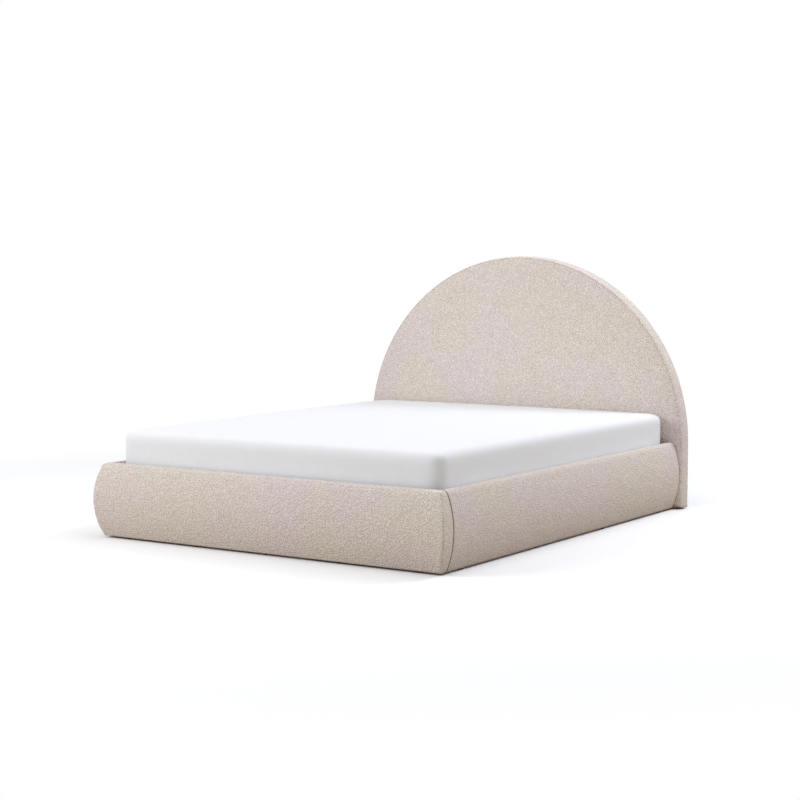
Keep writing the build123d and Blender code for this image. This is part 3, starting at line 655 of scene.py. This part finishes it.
def foot_rail():
    """Foot rail: the same bolster, whose ends return round both corners to a sewn mitre."""
    made = settings().bed_upholstery
    low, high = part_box("foot_rail_cover")
    edge_x = high.x - made.packed_bulge
    edge_y = low.y + made.packed_bulge
    bm = block((-edge_x, edge_y, low.z), (edge_x, high.y, high.z))
    top = high.z - MM / 2
    front = [e for e in edges_on(bm, lambda c: c.z > top) if min(v.co.y for v in e.verts) < high.y - MM]
    round_edges(bm, front, made.rail_edge, 3)
    back = edges_on(bm, lambda c: c.z > top and abs(c.y - high.y) < MM)
    round_edges(bm, back, made.rail_back_edge, 2)
    split_along(bm, 2, made.spacing)
    # The rounded top edge, which is a little narrower than this, bows out with the faces
    rounded = 15 * MM
    for vert in bm.verts:
        bow = rail_bow(vert.co.z, low.z, high.z, made.rail_bulge)
        if abs(vert.co.x) > edge_x - rounded:
            vert.co.x += bow if vert.co.x > 0 else -bow
        if vert.co.y < edge_y + rounded:
            vert.co.y -= bow

    def off_mitre(c):
        """Distance from the nearer corner's seam."""
        bow = rail_bow(c.z, low.z, high.z, made.rail_bulge)
        return Vector((abs(c.x) - edge_x - bow, c.y - edge_y + bow, 0)).length

    mitres = edges_on(bm, lambda c: off_mitre(c) < TOUCH and c.z < high.z - MM)
    round_edges(bm, mitres, made.mitre_edge, 2)
    # The thread pulls the seam in along the diagonal, and lets go just under the top
    sink = 0.7 * made.seam_sink
    for vert in bm.verts:
        if off_mitre(vert.co) < 0.6 * made.mitre_edge and vert.co.z < high.z - 8 * MM:
            vert.co.x -= sink if vert.co.x > 0 else -sink
            vert.co.y += sink
    for end in (-1, 1):
        rim = edges_on(bm, lambda c: abs(c.y - high.y) < TOUCH and c.x * end > edge_x - 2 * MM)
        round_edges(bm, [e for e in rim if abs(e.verts[0].co.z - e.verts[1].co.z) > MM], made.seam_edge, 3)
    split_along(bm, 0, made.spacing)
    split_along(bm, 1, made.spacing)
    bmesh.ops.recalc_face_normals(bm, faces=bm.faces)
    piece = new_piece("foot_rail_upholstery", bm)
    points = points_of(piece)
    seam = np.array([off_mitre(Vector(p)) for p in points])
    held = (points[:, 1] > high.y - FLAT_BACK) | (points[:, 2] < low.z + MM) | (seam < 5 * MM)
    puff(piece, held.astype(float), made.swell)
    # seam_near weights the puckers' bump and painted shade; the last mark is painted shade in the butt joints
    # at the rail's back ends
    mark(piece, seam_near=1 - ease(seam, 3 * MM, 14 * MM), seam_run=points[:, 2],
         seam_deep=1 - ease(high.y - points[:, 1], MM, made.seam_edge))

    def weight(p):
        return ease(p[:, 2], low.z, low.z + 6 * MM) * ease(high.y - p[:, 1], MM, 10 * MM)

    finish_cover(piece, weight)
    points = points_of(piece)
    points[:, 1] = np.minimum(points[:, 1], high.y)
    points[:, 2] = np.maximum(points[:, 2], low.z)
    move_points(piece, points)
    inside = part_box("right_side_rail_board")[0].x
    board_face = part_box("foot_rail_board")[1].y
    open_back(piece, "foot_rail_board", Vector((-inside, board_face - HEM_STRIP, low.z - OVERRUN)),
              (inside, high.y + OVERRUN), "left_slat_ledge")
    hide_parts("foot_rail_cover", "foot_rail_foam")


def arch(bm, reach, bottom, shoulder, y, spacing):
    """Half-round outline on straight sides, as a closed ring of even edges."""
    seed = bm.verts.new((reach, y, shoulder))
    steps = max(8, round(pi * reach / spacing))
    bmesh.ops.spin(bm, geom=[seed], cent=(0, y, shoulder), axis=(0, -1, 0), angle=pi, steps=steps)
    walker = max(bm.verts, key=lambda v: v.co.x)
    last = min(bm.verts, key=lambda v: v.co.x)
    drop = shoulder - bottom
    for run in (Vector((0, 0, -drop)), Vector((-2 * reach, 0, 0)), Vector((0, 0, drop))):
        steps = max(2, round(run.length / spacing))
        for _ in range(steps):
            walker = bmesh.ops.extrude_vert_indiv(bm, verts=[walker])["verts"][0]
            walker.co += run / steps
    bmesh.ops.weld_verts(bm, targetmap={walker: last})
    return list(bm.edges)


def arch_run(points, reach, shoulder):
    """How far each point lies along the half-round outline."""
    up = points[:, 2] - shoulder
    straight = np.where(points[:, 0] > 0, up, pi * reach - up)
    return np.where(up > 0, np.arctan2(up, points[:, 0]) * reach, straight)


def headboard_pad():
    """Front padding: a flat half-round face with a soft edge, sewn to the boxing all round."""
    made = settings().bed_upholstery
    low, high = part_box("headboard_cover")
    panel_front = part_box("headboard_panel")[0].y
    shoulder = high.z - high.x
    reach = high.x - made.cover
    back_y = panel_front - 0.3 * MM
    front_y = low.y + made.pad_room
    bm = bmesh.new()
    ring = arch(bm, reach, low.z + made.cover, shoulder, back_y, ARCH_STEP)
    face = bmesh.ops.contextual_create(bm, geom=ring)["faces"][0]
    grown = bmesh.ops.extrude_face_region(bm, geom=[face])
    front = [v for v in grown["geom"] if isinstance(v, bmesh.types.BMVert)]
    bmesh.ops.translate(bm, verts=front, vec=(0, front_y - back_y, 0))
    bmesh.ops.recalc_face_normals(bm, faces=bm.faces)
    round_edges(bm, edges_on(bm, lambda c: abs(c.y - front_y) < TOUCH), made.headboard_edge, 6)
    piece = even_skin(bm, "headboard_front_pad", made.spacing)
    points = points_of(piece)
    # Behind the base the pad is pressed flat, so it neither swells nor curls there
    rail_reach, _, rail_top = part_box("foot_rail_cover")[1]
    resting = (points[:, 2] < rail_top + 4 * MM) & (np.abs(points[:, 0]) < rail_reach - 10 * MM)
    held = (points[:, 1] > front_y + 0.4 * made.headboard_edge) | resting
    puff(piece, held.astype(float), 1.2 * made.pad_room)
    inside = np.where(points[:, 2] > shoulder, reach - np.hypot(points[:, 0], points[:, 2] - shoulder),
                      np.minimum(reach - np.abs(points[:, 0]), points[:, 2] - low.z - made.cover))
    near = (1 - ease(inside, 5 * MM, 22 * MM)) * (points[:, 1] < front_y + made.headboard_edge)
    # Near the seam the puckers are bumped and also painted darker and lighter, as painted shade and light
    mark(piece, seam_near=near, seam_run=arch_run(points, reach, shoulder))

    def weight(p):
        low_down = 1 - ease(p[:, 2], rail_top, rail_top + 12 * MM)
        within = 1 - ease(np.abs(p[:, 0]), rail_reach - 14 * MM, rail_reach - 4 * MM)
        return (1 - low_down * within) * ease(panel_front - p[:, 1], 2 * MM, 8 * MM)

    finish_cover(piece, weight)
    cut_away(piece, [(a - SEAT_ROOM, b + SEAT_ROOM) for a, b in loose_boxes("headboard_fixing_pads")])
    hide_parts("headboard_foam")


def headboard_boxing():
    """Boxing: the strip of cover round the headboard's edge, from the front seam to a stapled hem."""
    made = settings().bed_upholstery
    low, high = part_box("headboard_cover")
    shoulder = high.z - high.x
    drop = shoulder - low.z
    depth = high.y - low.y
    edge = made.headboard_edge
    cover = made.cover
    room = made.pad_room
    hem = 36 * MM
    crown = 1.2 * MM
    corner = 5 * MM
    # Inset from the outline and depth behind the front, in order round the strip's section: out
    # from the front seam, back over a low crown, round the back edge, in along the hem, and home
    # inside, a cover's thickness away
    profile = [(0.42 * edge, 0.30 * edge + room), (0.20 * edge, 0.58 * edge + room),
               (0.05 * edge, edge + room)]
    steps = 8
    for step in range(1, steps):
        place = edge + room + (depth - edge - room - corner) * step / steps
        profile.append((-crown * sin(pi * step / steps), place))
    profile += [(0.0, depth - corner), (0.3 * corner, depth - 0.3 * corner), (corner, depth)]
    profile += [(hem / 2, depth), (hem, depth), (hem, depth - cover), (hem / 2, depth - cover),
                (corner, depth - cover), (cover, depth - corner), (cover, depth / 2),
                (cover, edge + room + 2 * MM), (0.42 * edge + cover, 0.30 * edge + room + cover)]
    bm = bmesh.new()
    ring = arch(bm, high.x, low.z, shoulder, low.y, made.spacing)

    def inset(verts, last, new):
        """Moves a ring's points from one inset and depth to the next."""
        wide = (high.x - new[0]) / (high.x - last[0])
        tall = (drop - new[0]) / (drop - last[0])
        for vert in verts:
            up = vert.co.z - shoulder
            vert.co = (vert.co.x * wide, vert.co.y + new[1] - last[1],
                       shoulder + up * (wide if up > 0 else tall))

    first = set(ring)
    inset({v for e in ring for v in e.verts}, (0.0, 0.0), profile[0])
    for last, new in zip(profile, profile[1:]):
        grown = bmesh.ops.extrude_edge_only(bm, edges=ring)["geom"]
        ring = [g for g in grown if isinstance(g, bmesh.types.BMEdge)]
        inset([g for g in grown if isinstance(g, bmesh.types.BMVert)], last, new)
    bmesh.ops.bridge_loops(bm, edges=list(first) + ring)
    bmesh.ops.recalc_face_normals(bm, faces=bm.faces)
    piece = new_piece("headboard_boxing", bm)
    points = points_of(piece)
    near = 1 - ease(points[:, 1] - low.y, 0.4 * edge, 0.4 * edge + 16 * MM)
    # Near the seam the puckers are bumped and also painted darker and lighter, as painted shade and light
    mark(piece, seam_near=near, seam_run=arch_run(points, high.x, shoulder))

    def weight(p):
        up = p[:, 2] - shoulder
        outward = np.where(up > 0, np.hypot(p[:, 0], up), np.maximum(np.abs(p[:, 0]), high.x - drop - up))
        return ((outward > high.x - 3 * MM) * ease(p[:, 1], low.y + 0.5 * edge, low.y + edge)
                * ease(high.y - p[:, 1], MM, 8 * MM) * ease(p[:, 2], low.z + MM, low.z + 8 * MM))

    finish_cover(piece, weight)
    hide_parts("headboard_cover")


def back_cloth():
    """Spun-bond cloth that closes the headboard's back, stretched and stapled inside the hem."""
    low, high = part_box("headboard_back_cloth")
    shoulder = high.z - high.x
    bm = bmesh.new()
    ring = arch(bm, high.x, low.z, shoulder, high.y - 0.4 * MM, ARCH_STEP)
    face = bmesh.ops.contextual_create(bm, geom=ring)["faces"][0]
    bmesh.ops.triangulate(bm, faces=[face])
    piece = new_piece("headboard_dust_cloth", bm)
    modify(piece, "SOLIDIFY", thickness=0.5 * MM, offset=0)
    piece.data.materials.append(
        weave("Spun-bond dust cloth", settings().bed_colours.dust_cloth, 1.6 * MM, 0.5, 0.9, 0.1))
    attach(piece, "bed_frame")
    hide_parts("headboard_back_cloth")


# Bedding

def bedding_form(name, grow, grid):
    """Crowned mattress shape, grown or drawn in, with the corners and edges rounded."""
    made = settings().bed_bedding
    low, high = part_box("fitted_sheet")
    low, high = low - Vector((grow,) * 3), high + Vector((grow,) * 3)
    bm = block(low, high)
    upright = [e for e in bm.edges if abs(e.verts[0].co.z - e.verts[1].co.z) > MM]
    round_edges(bm, upright, made.corner + grow, 10)
    round_edges(bm, edges_on(bm, lambda c: c.z > high.z - MM), made.top_edge + grow, 8)
    round_edges(bm, edges_on(bm, lambda c: c.z < low.z + MM), made.low_edge + grow, 5)
    piece = even_skin(bm, name, grid)
    # The top falls from its crown to the corners, and the sides draw in a little towards them
    draw_in = 5 * MM
    points = points_of(piece)
    u, v, rise = ((points - np.array(low)) / np.array(high - low)).T
    u, v = 2 * u - 1, 2 * v - 1
    points[:, 2] -= made.crown * rise * (u ** 2 + v ** 2) / 2
    points[:, 0] -= draw_in * u * v ** 2
    points[:, 1] -= draw_in * v * u ** 2
    move_points(piece, points)
    held = (points[:, 2] < low.z + made.low_edge).astype(float)
    puff(piece, held, 2 * MM, 2.0, 10)
    modify(piece, "SUBSURF", levels=1, render_levels=1)
    points = np.clip(points_of(piece), np.array(low) - MM, np.array(high) + MM)
    points[:, 2] = np.maximum(points[:, 2], low.z)
    move_points(piece, points)
    smooth_faces(piece)
    return piece


def within_hem(points, low, high):
    """Which points lie inside the opening that the sheet's hem leaves under the mattress."""
    hem = settings().bed_bedding.hem
    return ((np.abs(points[:, 0]) < high.x - hem)
            & (points[:, 1] > low.y + hem) & (points[:, 1] < high.y - hem))


def mattress():
    """Mattress in its ticking, a thin sheet's thickness inside the fitted sheet."""
    made = settings().bed_bedding
    piece = bedding_form("mattress", -2 * made.sheet_thickness, 1.5 * made.grid)
    low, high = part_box("fitted_sheet")
    points = points_of(piece)
    # Inside the sheet's hem it settles on the slats
    points[within_hem(points, low, high) & (points[:, 2] < low.z + 3 * MM), 2] = low.z
    move_points(piece, points)
    piece.data.materials.append(
        weave("Damask ticking", settings().bed_colours.ticking, 2.2 * MM, 0.5, 0.85, 0.1))
    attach(piece, "mattress")
    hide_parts("mattress_core")


def sheet():
    """Fitted sheet: stretched over the top and sides and drawn in underneath by its elastic."""
    made = settings().bed_bedding
    low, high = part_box("fitted_sheet")
    piece = bedding_form("fitted_cotton_sheet", 0, made.grid)
    bm = bmesh.new()
    bm.from_mesh(piece.data)
    centres = np.array([f.calc_center_median() for f in bm.faces])
    opening = within_hem(centres, low, high) & (centres[:, 2] < low.z + 2 * MM)
    bmesh.ops.delete(bm, geom=[f for f, gone in zip(bm.faces, opening) if gone], context="FACES")
    bm.to_mesh(piece.data)
    bm.free()
    modify(piece, "SOLIDIFY", thickness=made.sheet_thickness, offset=-1)
    smooth_faces(piece)
    piece.data.materials.append(
        weave("Cotton percale", settings().bed_colours.sheet, 1.2 * MM, 0.02, 0.8, 0.15, 0.02))
    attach(piece, "mattress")
    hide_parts("fitted_sheet")


# Finishes of the frame's own pieces

def finish_nodes():
    """Gives every piece of the frame that still shows the finish of its real material."""
    pine_x, pine_y, pine_z = [
        wood("Planed pine, grain " + words, "#E8C998", "#CFA66E", 7 * MM, along, 0.6)
        for along, words in (("X", "across the bed"), ("Y", "along the bed"), ("Z", "upright"))]
    ply = wood("Poplar plywood", "#E2CFA8", "#CDB489", 11 * MM, "Y", 0.65)
    zinc = thin_finish("Zinc-plated steel", "#B9BCBE", 0.35)
    powder = thin_finish("Powder-coated steel", "#1C1D1F", 0.5, 0.0)
    glide = thin_finish("Moulded polypropylene", "#202123", 0.55, 0.0)
    tape = weave("Woven polyester tape", "#F0EEE6", 2.2 * MM, 0.8, 0.85, 0.1)
    finishes = [
        (("slat_0", "slat_1", "headboard_lower_rail", "headboard_middle_rail", "headboard_fixing"), pine_x),
        (("left_slat_ledge", "right_slat_ledge"), pine_y),
        (("left_headboard_post", "right_headboard_post", "headboard_stile"), pine_z),
        (("headboard_panel", "headboard_rib", "foot_rail_board", "left_side_rail_board",
          "right_side_rail_board"), ply),
        (("bracket_bolts", "tee_nuts", "ledge_screws", "hanger_screws", "leg_bolts"), zinc),
        (("centre_beam", "centre_leg", "beam_hangers", "left_foot_bracket", "right_foot_bracket",
          "left_head_bracket", "right_head_bracket"), powder),
        (("rail_glides", "headboard_glides", "levelling_foot"), glide),
        (("left_slat_webbing", "right_slat_webbing"), tape),
    ]
    for name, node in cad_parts.items():
        chosen = [material for starts, material in finishes if name.startswith(starts)]
        if chosen:
            node.data.materials.clear()
            node.data.materials.append(chosen[0])


# Stage

def softbox(name, place, target, size, power, colour):
    """Soft square lamp that looks at a point."""
    data = bpy.data.lights.new(name, "AREA")
    data.size = size
    data.energy = power
    data.color = linear(colour)[:3]
    lamp = bpy.data.objects.new(name, data)
    lamp.location = place
    lamp.rotation_euler = (Vector(target) - Vector(place)).to_track_quat("-Z", "Y").to_euler()
    bpy.context.scene.collection.objects.link(lamp)


def camera():
    """Camera at the photograph's place and angle."""
    made = settings().bed_stage
    data = bpy.data.cameras.new("Camera")
    data.lens = made.lens
    data.sensor_width = 36
    data.clip_end = 200
    eye = bpy.data.objects.new("Camera", data)
    eye.location = made.camera_place
    eye.rotation_euler = (pi / 2 - made.camera_pitch, 0, made.camera_yaw)
    bpy.context.scene.collection.objects.link(eye)
    bpy.context.scene.camera = eye


def seen_rays(tree):
    """1 for the rays that show the background, straight or by a reflection, and 0 for the light's."""
    path = add_node(tree, "ShaderNodeLightPath")
    seen = path.outputs["Is Camera Ray"]
    for kind in ("Is Glossy Ray", "Is Transmission Ray"):
        seen = add_node(tree, "ShaderNodeMath", {0: seen, 1: path.outputs[kind]}, operation="MAXIMUM")
    return seen


def floor():
    """White floor that fades into the white surround and keeps the bed's shadow."""
    bm = bmesh.new()
    bmesh.ops.create_grid(bm, x_segments=1, y_segments=1, size=5)
    piece = new_piece("studio_floor", bm)
    made, tree = start_material("Matt white studio floor")
    # The light that it sends back to the bed is a warm grey
    colour = add_node(tree, "ShaderNodeMix", {"Factor": seen_rays(tree), "A": linear("#BBAFA1"),
                                              "B": linear("#FFFFFF")}, data_type="RGBA")
    both = add_node(tree, "ShaderNodeBsdfDiffuse", {"Color": colour.outputs["Result"]})
    # The floor thins out a few metres from the bed, so that no horizon shows against the white
    place = add_node(tree, "ShaderNodeTexCoord")
    reach = add_node(tree, "ShaderNodeVectorMath", {0: place.outputs["Object"]}, operation="LENGTH")
    fade = add_node(tree, "ShaderNodeMapRange", {"Value": reach.outputs["Value"], "From Min": 2.2,
                                                 "From Max": 3.6, "To Min": 0.0, "To Max": 1.0},
                    interpolation_type="SMOOTHSTEP")
    gone = add_node(tree, "ShaderNodeBsdfTransparent")
    thinned = add_node(tree, "ShaderNodeMixShader", {0: fade, 1: both, 2: gone})
    finish_material(made, tree, thinned)
    piece.data.materials.append(made)


def surround():
    """White world, whose strength for light differs from what the camera sees."""
    made = settings().bed_stage
    world = bpy.data.worlds.new("White surround")
    world.use_nodes = True
    tree = world.node_tree
    tree.nodes.clear()
    strength = add_node(tree, "ShaderNodeMapRange", {"Value": seen_rays(tree), "To Min": made.sky,
                                                     "To Max": 1.0})
    shine = add_node(tree, "ShaderNodeBackground", {"Color": linear("#FFFFFF"), "Strength": strength})
    add_node(tree, "ShaderNodeOutputWorld", {"Surface": shine})
    bpy.context.scene.world = world


def lights():
    """Three softboxes: overhead, front left, and behind at the right for the headboard's rim."""
    made = settings().bed_stage
    softbox("Overhead softbox", (1.7, 0.6, 5.4), (0, 0.3, 0), 5.8, made.top_light, "#FBFCFF")
    softbox("Front left softbox", (-3.4, -4.6, 3.2), (-0.2, 0.2, 0.5), 3.0, made.front_light, "#F6F9FF")
    softbox("Back right softbox", (2.6, 3.0, 4.2), (0.6, 0.8, 0.6), 2.0, made.right_light, "#EAF0FF")


# Operators

class BED_OT_stage(bpy.types.Operator):
    """Adds the camera, the lamps, the floor and the white surround"""
    bl_idname = "bed.stage"
    bl_label = "Stage"

    def execute(self, context):
        context.scene.view_settings.view_transform = "Standard"
        camera()
        floor()
        surround()
        lights()
        return {"FINISHED"}


class BED_OT_headboard(bpy.types.Operator):
    """Covers the headboard and closes its back"""
    bl_idname = "bed.headboard"
    bl_label = "Headboard"

    def execute(self, context):
        headboard_pad()
        headboard_boxing()
        back_cloth()
        return {"FINISHED"}


class BED_OT_foot_rail(bpy.types.Operator):
    """Covers the foot rail and its two returns"""
    bl_idname = "bed.foot_rail"
    bl_label = "Foot rail"

    def execute(self, context):
        foot_rail()
        return {"FINISHED"}


class BED_OT_side_rails(bpy.types.Operator):
    """Covers the two side rails"""
    bl_idname = "bed.side_rails"
    bl_label = "Side rails"

    def execute(self, context):
        side_rail(1, "right_side_rail")
        side_rail(-1, "left_side_rail")
        return {"FINISHED"}


class BED_OT_bedding(bpy.types.Operator):
    """Makes the mattress and its fitted sheet"""
    bl_idname = "bed.bedding"
    bl_label = "Mattress and sheet"

    def execute(self, context):
        mattress()
        sheet()
        return {"FINISHED"}


class BED_OT_finishes(bpy.types.Operator):
    """Gives the boards, slats and fittings their finishes"""
    bl_idname = "bed.finishes"
    bl_label = "Frame finishes"

    def execute(self, context):
        finish_nodes()
        return {"FINISHED"}


class BED_PT_dressing(bpy.types.Panel):
    """Shows the bed's settings and its steps in the sidebar"""
    bl_label = "Bed"
    bl_idname = "BED_PT_dressing"
    bl_space_type = "VIEW_3D"
    bl_region_type = "UI"
    bl_category = "Bed"

    def draw(self, context):
        for group in (context.scene.bed_upholstery, context.scene.bed_bedding, context.scene.bed_colours,
                      context.scene.bed_stage):
            box = self.layout.box()
            for name in group.__annotations__:
                box.prop(group, name)
        for operator in OPERATORS:
            self.layout.operator(operator.bl_idname)


OPERATORS = (BED_OT_stage, BED_OT_headboard, BED_OT_foot_rail, BED_OT_side_rails, BED_OT_bedding,
             BED_OT_finishes)
GROUPS = {"bed_upholstery": BedUpholsterySettings, "bed_colours": BedFabricColours,
          "bed_bedding": BedBeddingSettings, "bed_stage": BedStageSettings}


def register():
    for group in GROUPS.values():
        bpy.utils.register_class(group)
    for operator in OPERATORS:
        bpy.utils.register_class(operator)
    bpy.utils.register_class(BED_PT_dressing)
    for name, group in GROUPS.items():
        setattr(bpy.types.Scene, name, PointerProperty(type=group))


def unregister():
    for name in GROUPS:
        delattr(bpy.types.Scene, name)
    for made in (BED_PT_dressing, *OPERATORS, *GROUPS.values()):
        bpy.utils.unregister_class(made)


def main():
    register()
    bpy.ops.bed.stage()
    bpy.ops.bed.headboard()
    bpy.ops.bed.foot_rail()
    bpy.ops.bed.side_rails()
    bpy.ops.bed.bedding()
    bpy.ops.bed.finishes()


if __name__ == "__main__":
    main()
